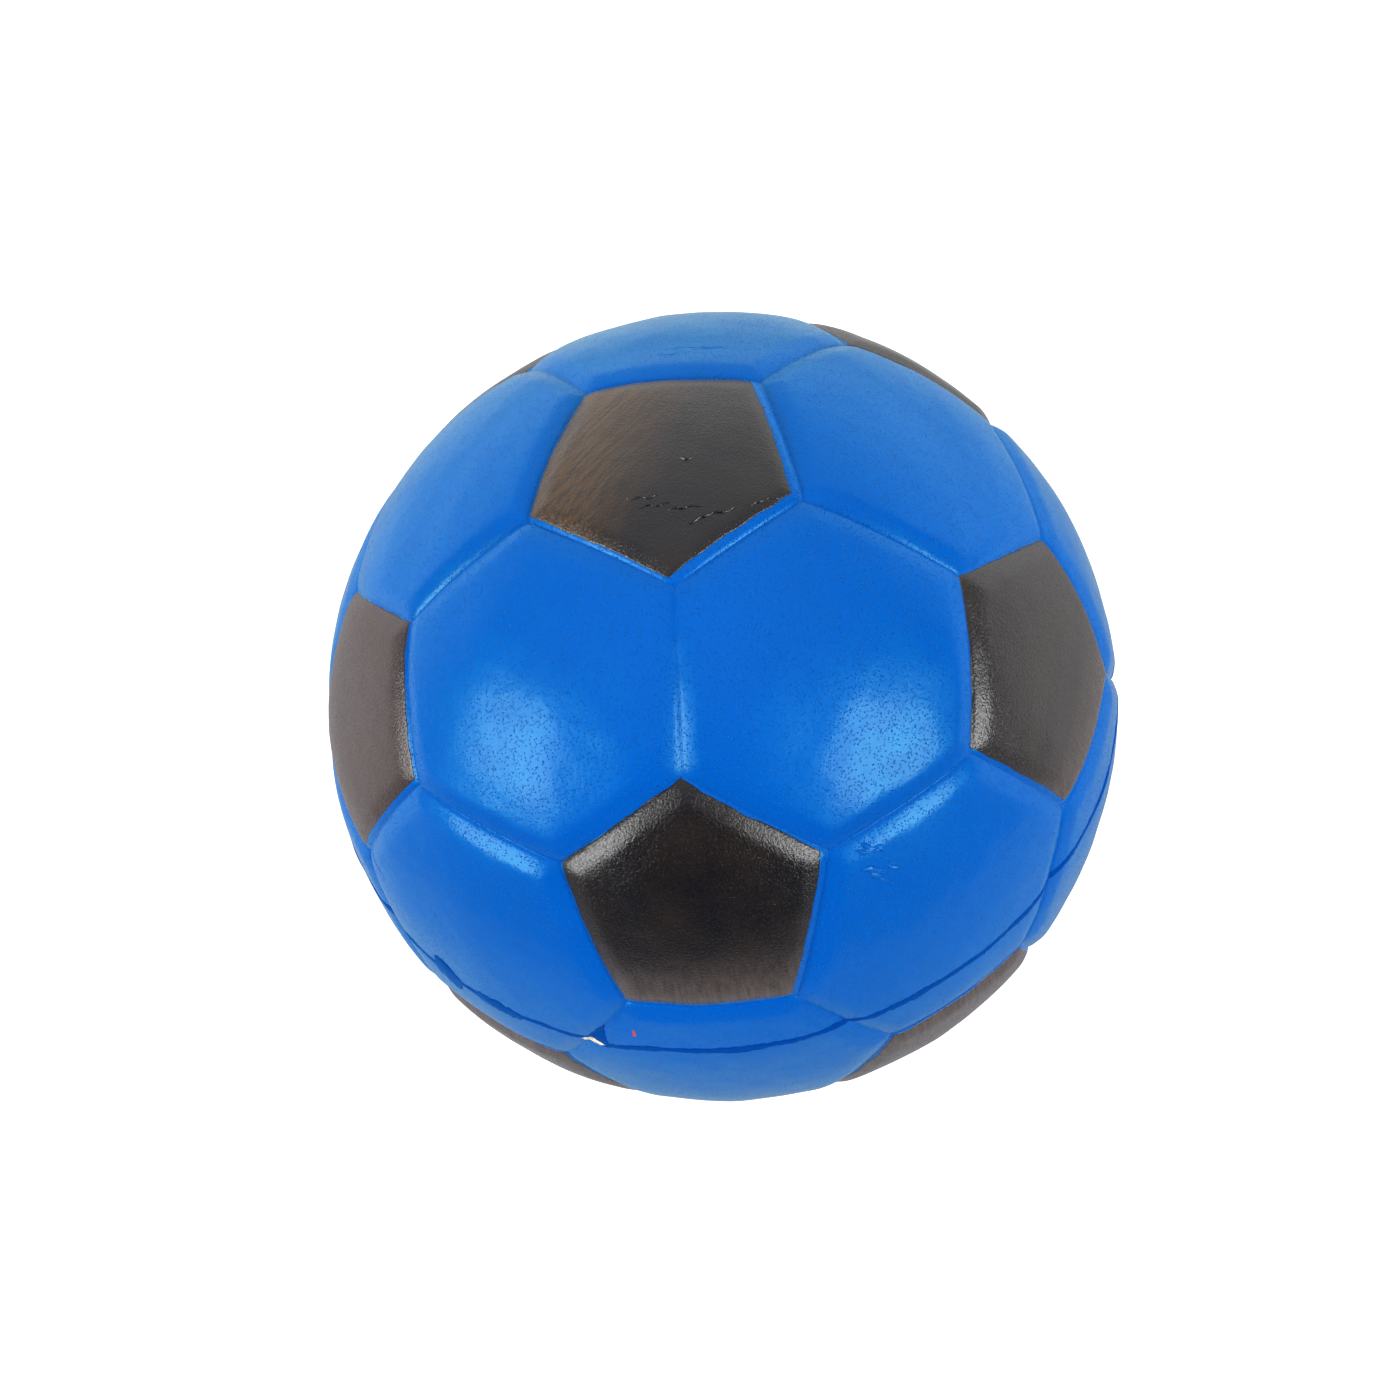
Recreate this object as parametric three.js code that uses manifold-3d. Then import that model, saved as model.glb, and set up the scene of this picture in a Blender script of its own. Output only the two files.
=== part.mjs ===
// A foam stress ball with the panel pattern of a football, 63 mm across.
//
// Units are millimetres, +Z is up, and the origin is the centre of the ball. The pattern is a
// truncated icosahedron drawn on the sphere: 12 pentagons and 20 hexagons that meet along
// V-shaped grooves. +Z runs through the middle of a pentagon, +X towards a pentagon of the upper
// belt. The mould parts on the equator, z = 0. The ball stands on the small round patch where the
// soft foam flattens under its own weight.
//
// Pieces: a core of foam, two halves of moulded skin, the trimmed fin of flash between the halves,
// and twelve pentagon panels of black paint. Pieces that touch keep a gap of FIT_GAP.

import * as THREE from "three";
import { mergeVertices } from "three/addons/utils/BufferGeometryUtils.js";
import Module from "manifold-3d";

// ---- driving dimensions --------------------------------------------------------------------

const BALL_RADIUS = 31.5; // outside of the panels
const GROOVE_DEPTH = 0.65; // at the groove's centre line
// Across a groove: [distance from its centre line, share of the depth that is left there].
const GROOVE_PROFILE = [
  [0, 1],
  [0.55, 0.42],
  [1.3, 0.1],
  [2.4, 0],
];
const SKIN_THICKNESS = 2;
const PAINT_THICKNESS = 0.6;
const PAINT_INSET = 0.55; // from the groove's centre line to the edge of the paint
const FLASH_WIDTH = 0.4;
const FLASH_PROUD = 0.1; // how far the trimmed flash stands over the skin
const CONTACT_RADIUS = 3.9; // of the flattened patch that the ball stands on
const FIT_GAP = 0.3;

const STEPS_PER_SIDE = 4; // facets along each side of a panel
const INNER_RING = 0.42; // size of a panel's innermost ring of facets, as a share of the panel
const ROUND_DETAIL = 6; // subdivision of the plain spheres

// ---- sizes that follow ---------------------------------------------------------------------

const SKIN_INNER_RADIUS = BALL_RADIUS - SKIN_THICKNESS;
const CORE_RADIUS = SKIN_INNER_RADIUS - FIT_GAP;
const PAINT_INNER_RADIUS = BALL_RADIUS - PAINT_THICKNESS;
const RECESS_RADIUS = PAINT_INNER_RADIUS - FIT_GAP; // floor of the skin under the paint
const RECESS_INSET = PAINT_INSET - FIT_GAP;
const CONTACT_HEIGHT = -Math.sqrt(BALL_RADIUS ** 2 - CONTACT_RADIUS ** 2);
const SKIN_EDGE_HEIGHT = FLASH_WIDTH / 2 + FIT_GAP; // where each half of the skin begins
const BLOCK_SIZE = 3 * BALL_RADIUS; // of the blocks that cut the ball apart

// ---- colours -------------------------------------------------------------------------------

const material = (color, roughness) => new THREE.MeshStandardMaterial({ color, roughness, metalness: 0 });

// ---- the pattern: centres and corners as unit directions ------------------------------------

const NEIGHBOUR_DOT = 0.4; // neighbouring pentagon centres have a dot product of 0.447

function direction(latitude, azimuth) {
  return new THREE.Vector3(
    Math.cos(latitude) * Math.cos(azimuth),
    Math.cos(latitude) * Math.sin(azimuth),
    Math.sin(latitude),
  );
}

// The twelve pentagon centres, each with the name of the paint panel on it.
function pentagonCentres() {
  const beltLatitude = Math.atan(0.5);
  const fifth = (2 * Math.PI) / 5;
  const centres = [{ name: "black_panel_top", centre: direction(Math.PI / 2, 0) }];
  for (let k = 0; k < 5; k += 1) {
    centres.push({ name: `black_panel_upper_${k + 1}`, centre: direction(beltLatitude, k * fifth) });
  }
  for (let k = 0; k < 5; k += 1) {
    centres.push({ name: `black_panel_lower_${k + 1}`, centre: direction(-beltLatitude, (k + 0.5) * fifth) });
  }
  centres.push({ name: "black_panel_bottom", centre: direction(-Math.PI / 2, 0) });
  return centres;
}

const areNeighbours = (a, b) => a !== b && a.dot(b) > NEIGHBOUR_DOT;

// A corner of the pattern lies a third of the way from one pentagon centre to the next.
const cornerBetween = (near, far) => near.clone().multiplyScalar(2).add(far).normalize();

// The corners in order around the centre, anticlockwise seen from outside the ball.
function inOrder(centre, corners) {
  const east = corners[0].clone().addScaledVector(centre, -corners[0].dot(centre)).normalize();
  const north = centre.clone().cross(east);
  const turn = (corner) => Math.atan2(corner.dot(north), corner.dot(east));
  return [...corners].sort((a, b) => turn(a) - turn(b));
}

function makePanel(centre, corners) {
  const ordered = inOrder(centre, corners);
  const middleOfSide = ordered[0].clone().add(ordered[1]).normalize();
  return { centre, corners: ordered, halfWidth: centre.angleTo(middleOfSide) };
}

function pentagonPanel(centre, centres) {
  const corners = centres.filter((other) => areNeighbours(centre, other)).map((other) => cornerBetween(centre, other));
  return makePanel(centre, corners);
}

// One hexagon for every three pentagons that are each other's neighbours.
function hexagonPanels(centres) {
  const panels = [];
  centres.forEach((a, i) => {
    centres.slice(i + 1).forEach((b, j) => {
      centres.slice(i + j + 2).forEach((c) => {
        if (!areNeighbours(a, b) || !areNeighbours(b, c) || !areNeighbours(a, c)) return;
        const pairs = [[a, b], [b, a], [b, c], [c, b], [c, a], [a, c]];
        const centre = a.clone().add(b).add(c).normalize();
        panels.push(makePanel(centre, pairs.map(([near, far]) => cornerBetween(near, far))));
      });
    });
  });
  return panels;
}

// ---- facets ----------------------------------------------------------------------------------

// How much of the groove's depth is left at a distance from its centre line.
function grooveShare(distance) {
  for (let i = 1; i < GROOVE_PROFILE.length; i += 1) {
    const [nearDistance, nearShare] = GROOVE_PROFILE[i - 1];
    const [farDistance, farShare] = GROOVE_PROFILE[i];
    if (distance <= farDistance) {
      const part = (distance - nearDistance) / (farDistance - nearDistance);
      return THREE.MathUtils.lerp(nearShare, farShare, part);
    }
  }
  return 0;
}

const reliefRadius = (inset) => BALL_RADIUS - GROOVE_DEPTH * grooveShare(inset);

// The size, as a share of the panel, of the ring that lies inset from the panel's sides.
const shareAt = (panel, inset) => Math.tan(panel.halfWidth - inset / BALL_RADIUS) / Math.tan(panel.halfWidth);

// A ring of points: the panel's outline, shrunk towards its centre and set at a radius.
function ring(panel, share, radius) {
  const points = [];
  panel.corners.forEach((corner, i) => {
    const next = panel.corners[(i + 1) % panel.corners.length];
    for (let step = 0; step < STEPS_PER_SIDE; step += 1) {
      const onSide = corner.clone().lerp(next, step / STEPS_PER_SIDE);
      onSide.divideScalar(onSide.dot(panel.centre)); // on the plane that touches the panel's centre
      points.push(panel.centre.clone().lerp(onSide, share).setLength(radius));
    }
  });
  return points;
}

// Facets between neighbouring rings, listed from the outermost ring inwards, and a fan to the apex.
function surface(rings, apex) {
  const triangles = [];
  for (let i = 1; i < rings.length; i += 1) {
    const outer = rings[i - 1];
    const inner = rings[i];
    outer.forEach((point, j) => {
      const k = (j + 1) % outer.length;
      triangles.push([point, outer[k], inner[k]], [point, inner[k], inner[j]]);
    });
  }
  const last = rings[rings.length - 1];
  last.forEach((point, j) => triangles.push([point, last[(j + 1) % last.length], apex]));
  return triangles;
}

const apexAt = (panel, radius) => panel.centre.clone().setLength(radius);

// The grooved outside of one panel, from an inset line inwards, at the relief's own height plus lift.
function reliefRings(panel, inset, lift = 0) {
  const insets = [inset, ...GROOVE_PROFILE.map(([distance]) => distance).filter((distance) => distance > inset)];
  const rings = insets.map((each) => ring(panel, shareAt(panel, each), reliefRadius(each) + lift));
  rings.push(ring(panel, INNER_RING, BALL_RADIUS + lift));
  return rings;
}

const reliefSurface = (panel, lift = 0) => surface(reliefRings(panel, 0, lift), apexAt(panel, BALL_RADIUS + lift));

// The skin under a paint panel: the groove's wall, then a step down to the floor of the recess.
function recessSurface(panel) {
  const edge = shareAt(panel, RECESS_INSET);
  const rings = [
    ring(panel, 1, reliefRadius(0)),
    ring(panel, edge, reliefRadius(RECESS_INSET)),
    ring(panel, edge, RECESS_RADIUS),
    ring(panel, INNER_RING, RECESS_RADIUS),
  ];
  return surface(rings, apexAt(panel, RECESS_RADIUS));
}

const flipped = (triangles) => triangles.map(([a, b, c]) => [a, c, b]);

// A paint panel: the relief on top, a wall round its edge, and a spherical underside.
function paintTriangles(panel) {
  const edge = shareAt(panel, PAINT_INSET);
  const top = reliefRings(panel, PAINT_INSET);
  const under = [ring(panel, edge, PAINT_INNER_RADIUS), ring(panel, INNER_RING, PAINT_INNER_RADIUS)];
  const wall = [];
  under[0].forEach((point, j) => {
    const k = (j + 1) % under[0].length;
    wall.push([point, under[0][k], top[0][k]], [point, top[0][k], top[0][j]]);
  });
  return [
    ...surface(top, apexAt(panel, BALL_RADIUS)),
    ...wall,
    ...flipped(surface(under, apexAt(panel, PAINT_INNER_RADIUS))),
  ];
}

function geometryOf(triangles) {
  const geometry = new THREE.BufferGeometry();
  const numbers = triangles.flat().flatMap((point) => point.toArray());
  geometry.setAttribute("position", new THREE.Float32BufferAttribute(numbers, 3));
  return geometry;
}

// ---- solids: manifold-3d cuts them ------------------------------------------------------------

const MERGE_DISTANCE = 1e-4;
const manifold = await Module();
manifold.setup();

function toSolid(geometry) {
  const bare = geometry.clone();
  bare.deleteAttribute("normal");
  bare.deleteAttribute("uv");
  const merged = mergeVertices(bare, MERGE_DISTANCE);
  const vertProperties = new Float32Array(merged.attributes.position.array);
  const triVerts = new Uint32Array(merged.index.array);
  return new manifold.Manifold(new manifold.Mesh({ numProp: 3, vertProperties, triVerts }));
}

function toGeometry(solid) {
  const { vertProperties, triVerts } = solid.getMesh();
  const geometry = new THREE.BufferGeometry();
  geometry.setAttribute("position", new THREE.Float32BufferAttribute(vertProperties, 3));
  geometry.setIndex(new THREE.Uint32BufferAttribute(triVerts, 1));
  geometry.computeVertexNormals();
  return geometry;
}

const sphere = (radius) => toSolid(new THREE.IcosahedronGeometry(radius, ROUND_DETAIL));

// A wide block between two heights.
function layer(low, high) {
  const block = new THREE.BoxGeometry(BLOCK_SIZE, BLOCK_SIZE, high - low);
  block.translate(0, 0, (low + high) / 2);
  return toSolid(block);
}

// ---- the pieces -------------------------------------------------------------------------------

const pentagons = pentagonCentres();
const centres = pentagons.map(({ centre }) => centre);
const pentagonPanels = centres.map((centre) => pentagonPanel(centre, centres));
const hexagons = hexagonPanels(centres);
const ball = new THREE.Group();

function addPiece(name, solid, finish) {
  const mesh = new THREE.Mesh(toGeometry(solid), finish);
  mesh.name = name;
  ball.add(mesh);
}

// Cream polyurethane foam: one solid ball.
function addCore() {
  addPiece("foam_core", sphere(CORE_RADIUS), material(0xe6dcc0, 0.9));
}

// The blue skin, moulded in two halves that meet at the parting line.
function addSkins() {
  const blue = () => material(0x0064d7, 0.38);
  const outside = [...hexagons.flatMap((panel) => reliefSurface(panel)), ...pentagonPanels.flatMap(recessSurface)];
  const shell = toSolid(geometryOf(outside)).subtract(sphere(SKIN_INNER_RADIUS));
  addPiece("skin_upper_half", shell.intersect(layer(SKIN_EDGE_HEIGHT, BLOCK_SIZE)), blue());
  addPiece("skin_lower_half", shell.intersect(layer(-BLOCK_SIZE, -SKIN_EDGE_HEIGHT)), blue());
}

// The fin of flash that squeezed out between the mould's halves, trimmed and painted over.
function addFlash() {
  const outside = [...hexagons, ...pentagonPanels].flatMap((panel) => reliefSurface(panel, FLASH_PROUD));
  const slice = toSolid(geometryOf(outside)).intersect(layer(-FLASH_WIDTH / 2, FLASH_WIDTH / 2));
  addPiece("parting_flash", slice.subtract(sphere(SKIN_INNER_RADIUS)), material(0x0a3fa8, 0.3));
}

// Black paint: one panel in each pentagon. The lowest one is flattened where the ball stands.
function addPaint() {
  const below = layer(-BLOCK_SIZE, CONTACT_HEIGHT);
  pentagons.forEach(({ name }, i) => {
    const panel = toSolid(geometryOf(paintTriangles(pentagonPanels[i])));
    const isBottom = name === "black_panel_bottom";
    addPiece(name, isBottom ? panel.subtract(below) : panel, material(0x1c1517, 0.42));
  });
}

addCore();
addSkins();
addFlash();
addPaint();

export default ball;
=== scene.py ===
"""The looks of a foam stress ball with the panel pattern of a football.

A core of cream foam, two halves of blue skin that meet on the equator, a dark blue line of
touch-up paint over the trimmed flash between them, and twelve pentagons of black paint. All of it
is in metres, in the part's own frame: the origin is the centre of the ball and +Z runs through
the middle of the top pentagon.
"""

import itertools
import math

import bmesh
import bpy
import numpy as np
from mathutils import Matrix, Vector


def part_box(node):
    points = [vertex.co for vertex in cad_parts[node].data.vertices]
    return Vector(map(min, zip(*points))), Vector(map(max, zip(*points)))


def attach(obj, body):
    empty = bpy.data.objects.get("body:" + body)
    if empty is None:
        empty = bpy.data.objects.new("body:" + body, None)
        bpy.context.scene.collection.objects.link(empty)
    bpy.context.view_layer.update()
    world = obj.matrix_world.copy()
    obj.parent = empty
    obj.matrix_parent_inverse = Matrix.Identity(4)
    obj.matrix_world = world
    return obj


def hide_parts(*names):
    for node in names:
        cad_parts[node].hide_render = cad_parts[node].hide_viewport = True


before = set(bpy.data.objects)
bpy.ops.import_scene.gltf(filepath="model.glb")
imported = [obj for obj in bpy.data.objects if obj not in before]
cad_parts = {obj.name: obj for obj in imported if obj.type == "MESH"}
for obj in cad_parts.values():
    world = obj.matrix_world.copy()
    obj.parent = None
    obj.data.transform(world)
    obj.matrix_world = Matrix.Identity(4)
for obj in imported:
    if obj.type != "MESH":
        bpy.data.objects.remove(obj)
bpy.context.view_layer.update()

# ---- sizes, in metres ------------------------------------------------------------------------

MM = 0.001
BALL_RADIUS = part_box("black_panel_top")[1].z
CONTACT_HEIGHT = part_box("black_panel_bottom")[0].z
CORE_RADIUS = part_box("foam_core")[1].z
CORE_GAP = 0.3 * MM  # between the core and the skin
SKIN_INNER_RADIUS = CORE_RADIUS + CORE_GAP

# Waves that make things uneven: how high they are or by what share they vary it, and their length.
LUMPS = (0.035 * MM, 9 * MM)
RIPPLES = (0.008 * MM, 2.6 * MM)
CORE_CELLS = (0.12 * MM, 2.2 * MM)
GROOVE_UNEVEN = (0.08, 14 * MM)
PAINT_EDGE_WAVES = (0.03 * MM, 2.2 * MM)
PAINT_EDGE_RAGGED = (0.012 * MM, 0.7 * MM)
SEAM_WANDER = (0.05 * MM, 7 * MM)
SEAM_UNEVEN = (0.2, 2.6 * MM)
SEAM_RAGGED = (0.09, 0.5 * MM)
SEAM_THICKNESS = (0.3, 2.4 * MM)
PATCH_EDGE = (0.12, 0.4 * MM)
WRINKLE_BEND = (0.08 * MM, 1.3 * MM)
WRINKLE_SIZE = (0.6, 1.1 * MM)

# A groove has a flat bevel on each side: its depth at the middle of the groove, its width, and
# over how much it rounds off into the panel. Along the middle runs a narrow V: its depth, and the
# distance over which it loses all but a third of that.
BEVEL_DEPTH, BEVEL_WIDTH, BEVEL_ROUND = 0.4 * MM, 1.4 * MM, 0.18 * MM
GROOVE_V = (0.1 * MM, 0.12 * MM)
GROOVE_BOTTOM = 0.06 * MM  # radius at the bottom of the V
GROOVE_BLEND = 5  # how sharply grooves join at a corner: the higher, the shallower the corner
GROOVE_REACH = 9  # in degrees: further from a groove than this it has no depth left
SKIN_MARGIN = 0.04 * MM  # keeps the lumps within the ball's radius
PAINT_INSET = 0.33 * MM  # from the groove's centre line to the edge of the black paint
PAINT_INSET_ON_TOP = 0.48 * MM  # and on the top pentagon
PAINT_LIFT = 0.03 * MM  # how far it stands over the skin
PAINT_BODY = 0.1 * MM  # how far down its back is
PAINT_ROUND = 0.03 * MM  # over how much its edge rounds off
PAINT_EDGE_FADE = 0.5 * MM  # over how much the waves of its edge die away inwards
SEAM_HALF_GAP = 0.02 * MM  # between each half of the skin and the plane z = 0

# The rings of a panel: how far the first ones are from the side, in mm, and the step after them.
STEPS_PER_SIDE = 36
NEAR_GROOVE = (0, 0.04, 0.1, 0.18, 0.3, 0.5, 0.85, 1.1, 1.28, 1.44, 1.62, 1.85, 2.2)
HEXAGON_STEP = 0.5 * MM
PAINTED_STEP = 0.8 * MM  # on the skin under the black paint, where nothing shows
NEAR_PAINT_EDGE = (0, 0.03, 0.07, 0.13, 0.2, 0.3, 0.42, 0.56, 0.72, 0.9)
PAINT_STEP = 0.3 * MM
BACK_EVERY = 5  # the back of the paint has every fifth of its rings

# How far the skin lies under the middle of the paint, and where that begins and is complete.
SINK, SINK_BEGIN, SINK_END = 0.13 * MM, 0.8 * MM, 1.2 * MM
INNER_ROWS, INNER_COLUMNS = 20, 96  # of the inside of the skin
WELD = 0.002 * MM
WRINKLE_STEP, WRINKLE_BODY = 0.06 * MM, 0.05 * MM
SKIN_STEEPNESS, PAINT_STEEPNESS = 0.4, 1.0  # a wrinkle's height as a share of its half width
PATCH_STEPS_PER_SIDE = 8

SEAM_STEPS = 1800
SEAM_ACROSS = 9
SEAM_PAINT_HALF_WIDTH = 0.3 * MM
SEAM_PAINT_PROUD = 0.05 * MM
SEAM_PAINT_LEAST = 0.01 * MM  # how far its edges stand proud
# Where the skin is torn, how far the line sags there, and over how many degrees.
TEAR_AZIMUTH, TEAR_DIP, TEAR_SPREAD = -17, 0.4 * MM, 5

# The camera's place in the part's frame, in degrees and metres, and its lens in mm.
CAMERA_AZIMUTH, CAMERA_ELEVATION, CAMERA_ROLL = 11.34, 53.57, 13.17
CAMERA_DISTANCE = 8 * BALL_RADIUS
CAMERA_ASIDE, CAMERA_ABOVE = -1.79 * MM, 0.5 * MM
CAMERA_LENS = 80.68

# The azimuth and elevation of each softbox, in degrees, and what both have in common.
SOFTBOXES = {"softbox_left": (-58.0, 24.0), "softbox_right": (52.4, 21.3)}
SOFTBOX_DISTANCE, SOFTBOX_SIZE, SOFTBOX_RADIANCE = 0.5, 0.26, 13.4

FLOOR_RADIUS = 4
FLOOR_GLOW = 0.9  # for the camera only, so that it sees plain white
DARK_SIDE = (2, 11)  # the azimuth and elevation of the middle of the room's dark side
ROOM = (-0.26, 0.1, 1.75, 0.02)  # from and to on that axis, then how bright it is at each
HAZE = (0.0, 0.75, 1.0, 0.6)  # from and to in height, then what share of that is seen at each
CEILING = (0.5, 1.0, 0.0, 0.75)  # from and to in height, then how bright it is at each

# ---- the pattern: centres and corners as unit directions -------------------------------------


def unit(vectors):
    return vectors / np.linalg.norm(vectors, axis=-1, keepdims=True)


def direction(azimuth, latitude):
    """The unit vector at an azimuth and a latitude in degrees."""
    turn, rise = math.radians(azimuth), math.radians(latitude)
    level = math.cos(rise)
    return np.array([level * math.cos(turn), level * math.sin(turn), math.sin(rise)])


def pentagon_centres():
    belt = math.degrees(math.atan(0.5))
    centres = {"black_panel_top": direction(0, 90)}
    for k in range(5):
        centres[f"black_panel_upper_{k + 1}"] = direction(72 * k, belt)
        centres[f"black_panel_lower_{k + 1}"] = direction(72 * k + 36, -belt)
    centres["black_panel_bottom"] = direction(0, -90)
    return centres


def are_neighbours(a, b):
    return 0.4 < CENTRES[a] @ CENTRES[b] < 0.6  # 0.447 between the centres of neighbours


CENTRES = pentagon_centres()

# The mould was cut by hand. The corner of the first pentagon that points at the second one sits
# this far east and north of its place in the regular pattern, in mm.
HAND_CUT = {
    ("top", "upper_1"): (0.5, 0.3),
    ("top", "upper_2"): (-0.2, 0.4),
    ("top", "upper_3"): (-0.4, 0.0),
    ("top", "upper_4"): (0.1, -0.4),
    ("top", "upper_5"): (-0.3, -0.3),
    ("upper_1", "top"): (0.2, -0.7),
    ("upper_1", "upper_2"): (-0.3, -0.1),
    ("upper_1", "upper_5"): (0.6, 0.4),
    ("upper_1", "lower_1"): (0.1, -0.6),
    ("upper_1", "lower_5"): (0.0, -0.3),
    ("upper_2", "top"): (0.5, 0.0),
    ("upper_2", "lower_1"): (0.2, -0.3),
    ("upper_2", "lower_2"): (0.3, -0.5),
    ("upper_5", "upper_1"): (-0.2, 0.4),
    ("upper_5", "upper_4"): (-0.3, -0.4),
    ("upper_5", "lower_5"): (-0.3, -0.5),
}


def corner_between(near, far):
    """The corner of the pentagon called near that points at its neighbour far."""
    corner = unit(2 * CENTRES[near] + CENTRES[far])
    names = tuple(name.removeprefix("black_panel_") for name in (near, far))
    eastward, northward = HAND_CUT.get(names, (0, 0))
    east = unit(np.array([-corner[1], corner[0], 0]))
    nudge = eastward * east + northward * np.cross(corner, east)
    return unit(corner + nudge * MM / BALL_RADIUS)


class Panel:
    """A pentagon or hexagon of the pattern: its centre, its corners in order, and its size."""

    def __init__(self, centre, corners):
        self.centre = centre
        east = unit(corners[0] - (corners[0] @ centre) * centre)
        north = np.cross(centre, east)
        self.corners = np.array(sorted(corners, key=lambda c: math.atan2(c @ north, c @ east)))
        self.half_width = math.acos(centre @ unit(self.corners[0] + self.corners[1]))

    def outline(self):
        """Points along the sides, anticlockwise, on the plane that touches the panel's centre."""
        part = np.arange(STEPS_PER_SIDE)[None, :, None] / STEPS_PER_SIDE
        after = np.roll(self.corners, -1, axis=0)
        points = (self.corners[:, None] * (1 - part) + after[:, None] * part).reshape(-1, 3)
        return points / (points @ self.centre)[:, None]

    def ring(self, inset):
        """The outline moved in from the sides by inset, which may differ along the outline."""
        inset = np.broadcast_to(np.asarray(inset, float), (len(self.corners) * STEPS_PER_SIDE,))
        share = np.tan(self.half_width - inset / BALL_RADIUS) / math.tan(self.half_width)
        return unit(self.centre + share[:, None] * (self.outline() - self.centre))

    def insets(self, step):
        """Insets of rings from the sides to near the centre: close together at the groove."""
        near = [each * MM for each in NEAR_GROOVE]
        far = np.arange(near[-1] + step, self.half_width * BALL_RADIUS - step / 2, step)
        return [*near, *far]


def pentagon_panels():
    panels = {}
    for name, centre in CENTRES.items():
        around = [other for other in CENTRES if are_neighbours(name, other)]
        panels[name] = Panel(centre, [corner_between(name, other) for other in around])
    return panels


def hexagon_panels():
    panels = []
    for a, b, c in itertools.combinations(CENTRES, 3):
        if are_neighbours(a, b) and are_neighbours(b, c) and are_neighbours(a, c):
            pairs = ((a, b), (b, a), (b, c), (c, b), (c, a), (a, c))
            centre = unit(CENTRES[a] + CENTRES[b] + CENTRES[c])
            panels.append(Panel(centre, [corner_between(*pair) for pair in pairs]))
    return panels


PENTAGONS = pentagon_panels()
HEXAGONS = hexagon_panels()


def all_grooves():
    """Each groove as a pair of corners: the pentagons' sides, and the lines between pentagons."""
    grooves = []
    for panel in PENTAGONS.values():
        grooves += list(zip(panel.corners, np.roll(panel.corners, -1, axis=0), strict=True))
    for a, b in itertools.combinations(CENTRES, 2):
        if are_neighbours(a, b):
            grooves.append((corner_between(a, b), corner_between(b, a)))
    return np.array(grooves)


GROOVES = all_grooves()

# ---- the height of the surface -----------------------------------------------------------------


def waves(points, height_and_length, seed, count=24):
    """A smooth random value at each point, mostly within the height: a sum of plane waves."""
    height, length = height_and_length
    rng = np.random.default_rng(seed)
    headings = unit(rng.normal(size=(count, 3)))
    lengths = length * rng.uniform(0.7, 1.4, count)
    phases = rng.uniform(0, 2 * math.pi, count)
    turns = 2 * math.pi * points @ (headings / lengths[:, None]).T
    return height * (math.sqrt(2 / count) * np.cos(turns + phases).sum(axis=1))


def distance_to_arc(points, start, end):
    """The distance on the ball from each unit direction to the arc between two others."""
    normal = unit(np.cross(start, end))
    beside = np.abs(np.arcsin(np.clip(points @ normal, -1, 1)))
    past_start = points @ np.cross(normal, start) < 0
    past_end = points @ np.cross(end, normal) < 0
    to_start = np.arccos(np.clip(points @ start, -1, 1))
    to_end = np.arccos(np.clip(points @ end, -1, 1))
    return BALL_RADIUS * np.where(past_start, to_start, np.where(past_end, to_end, beside))


def groove_depth(points):
    """How deep the grooves are at each unit direction."""
    middle = unit(points.mean(axis=0))
    reach = np.arccos(np.clip(points @ middle, -1, 1)).max() + math.radians(GROOVE_REACH)
    total = np.zeros(len(points))
    for start, end in GROOVES:
        half_length = math.acos(start @ end) / 2
        away = math.acos(np.clip(unit(start + end) @ middle, -1, 1))
        if reach < math.pi / 2 and away > reach + half_length:
            continue
        distance = np.hypot(distance_to_arc(points, start, end), GROOVE_BOTTOM) - GROOVE_BOTTOM
        bevel = BEVEL_ROUND * np.logaddexp(0, (BEVEL_WIDTH - distance) / BEVEL_ROUND)
        depth = BEVEL_DEPTH * bevel / BEVEL_WIDTH + GROOVE_V[0] * np.exp(-distance / GROOVE_V[1])
        total += (depth / MM) ** GROOVE_BLEND
    uneven = 1 + waves(points * BALL_RADIUS, GROOVE_UNEVEN, seed=5)
    return MM * uneven * total ** (1 / GROOVE_BLEND)


def surface(points, lift=0.0):
    """The places on the ball's outside for unit directions: grooves, lumps, the flat base."""
    here = points * BALL_RADIUS
    height = waves(here, LUMPS, seed=1) - groove_depth(points) + waves(here, RIPPLES, seed=2)
    places = points * (BALL_RADIUS - SKIN_MARGIN + height + lift)[:, None]
    places[:, 2] = np.maximum(places[:, 2], CONTACT_HEIGHT + PAINT_LIFT - lift)
    return places


def laid(rings, lifts):
    """Rings of unit directions put on the surface, each ring with its own lift."""
    sizes = [len(ring) for ring in rings]
    lift = np.repeat(np.asarray(lifts, float), sizes)
    return np.split(surface(np.concatenate(rings), lift), np.cumsum(sizes)[:-1])


# ---- meshes ----------------------------------------------------------------------------------


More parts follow.
